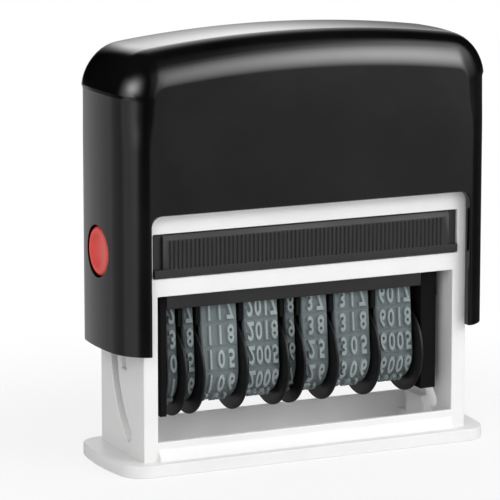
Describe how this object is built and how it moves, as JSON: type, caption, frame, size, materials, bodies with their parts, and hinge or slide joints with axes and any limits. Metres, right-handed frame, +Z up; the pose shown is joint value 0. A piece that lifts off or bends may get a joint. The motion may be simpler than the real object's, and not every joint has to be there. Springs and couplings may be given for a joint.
{
  "type": "numbering stamp",
  "caption": "Self-inking band stamp: a press-down cap turns a carrier of number bands over from an ink pad to the paper, with thumb wheels, a pull-out pad and a lock button.",
  "frame": {"origin": "on the desk, under the middle of the base", "axes": "+Z up, along the press; +X to the right along the wheel axle; front with the pad towards -Y"},
  "size_m": [0.0814, 0.0268, 0.0853],
  "materials": {
    "white_plastic": "smooth moulded, low gloss",
    "black_gloss": "polished moulded",
    "black_satin": "satin moulded",
    "pad_plastic": "fine matt",
    "pad_felt": "inked felt",
    "red_plastic": "satin moulded",
    "band_rubber": "matt rubber",
    "steel": "turned",
    "spring_steel": "drawn wire"
  },
  "bodies": {
    "frame": {"frame": "white_plastic", "return_spring": "spring_steel"},
    "ink_pad": {"ink_pad_tray": "pad_plastic", "ink_pad_felt": "pad_felt"},
    "cap": {"cap": "black_gloss", "drive_arm_left": "black_satin", "drive_arm_right": "black_satin"},
    "lock_button": {"lock_button": "red_plastic"},
    "carrier": {"cheek_left": "black_satin", "cheek_right": "black_satin", "pivot_pin_left": "steel", "pivot_pin_right": "steel", "wheel_axle": "steel", "print_bridge": "black_satin", "guide_rail_front": "black_satin", "guide_rail_back": "black_satin", "number_band_1": "band_rubber", "number_band_2": "band_rubber", "number_band_3": "band_rubber", "number_band_4": "band_rubber", "number_band_5": "band_rubber", "number_band_6": "band_rubber", "number_band_7": "band_rubber", "number_band_8": "band_rubber"},
    "wheel_1": {"number_wheel_1": "black_satin"},
    "wheel_2": {"number_wheel_2": "black_satin"},
    "wheel_3": {"number_wheel_3": "black_satin"},
    "wheel_4": {"number_wheel_4": "black_satin"},
    "wheel_5": {"number_wheel_5": "black_satin"},
    "wheel_6": {"number_wheel_6": "black_satin"},
    "wheel_7": {"number_wheel_7": "black_satin"},
    "wheel_8": {"number_wheel_8": "black_satin"}
  },
  "joints": [
    {"name": "cap_press", "type": "slide", "parent": "frame", "child": "cap", "axis": [0, 0, -1], "range_m": [0, 0.019], "stiffness_N_per_m": 400, "springref_m": -0.01, "deforming": ["return_spring"]},
    {"name": "carrier_flip", "type": "hinge", "parent": "cap", "child": "carrier", "pos_m": [0, 0, 0.02885], "axis": [-1, 0, 0], "range_deg": [0, 180]},
    {"name": "lock_push", "type": "slide", "parent": "cap", "child": "lock_button", "axis": [1, 0, 0], "range_m": [0, 0.0011], "stiffness_N_per_m": 500, "springref_m": -0.0005},
    {"name": "ink_pad_slide", "type": "slide", "parent": "frame", "child": "ink_pad", "axis": [0, 1, 0], "range_m": [-0.022, 0]},
    {"name": "wheel_1_turn", "type": "hinge", "parent": "carrier", "child": "wheel_1", "pos_m": [0, 0, 0.0182], "axis": [1, 0, 0], "continuous": true},
    {"name": "wheel_2_turn", "type": "hinge", "parent": "carrier", "child": "wheel_2", "pos_m": [0, 0, 0.0182], "axis": [1, 0, 0], "continuous": true},
    {"name": "wheel_3_turn", "type": "hinge", "parent": "carrier", "child": "wheel_3", "pos_m": [0, 0, 0.0182], "axis": [1, 0, 0], "continuous": true},
    {"name": "wheel_4_turn", "type": "hinge", "parent": "carrier", "child": "wheel_4", "pos_m": [0, 0, 0.0182], "axis": [1, 0, 0], "continuous": true},
    {"name": "wheel_5_turn", "type": "hinge", "parent": "carrier", "child": "wheel_5", "pos_m": [0, 0, 0.0182], "axis": [1, 0, 0], "continuous": true},
    {"name": "wheel_6_turn", "type": "hinge", "parent": "carrier", "child": "wheel_6", "pos_m": [0, 0, 0.0182], "axis": [1, 0, 0], "continuous": true},
    {"name": "wheel_7_turn", "type": "hinge", "parent": "carrier", "child": "wheel_7", "pos_m": [0, 0, 0.0182], "axis": [1, 0, 0], "continuous": true},
    {"name": "wheel_8_turn", "type": "hinge", "parent": "carrier", "child": "wheel_8", "pos_m": [0, 0, 0.0182], "axis": [1, 0, 0], "continuous": true}
  ],
  "couplings": [
    {"joint": "carrier_flip", "follows": "cap_press", "rad_per_m": 165.34}
  ]
}
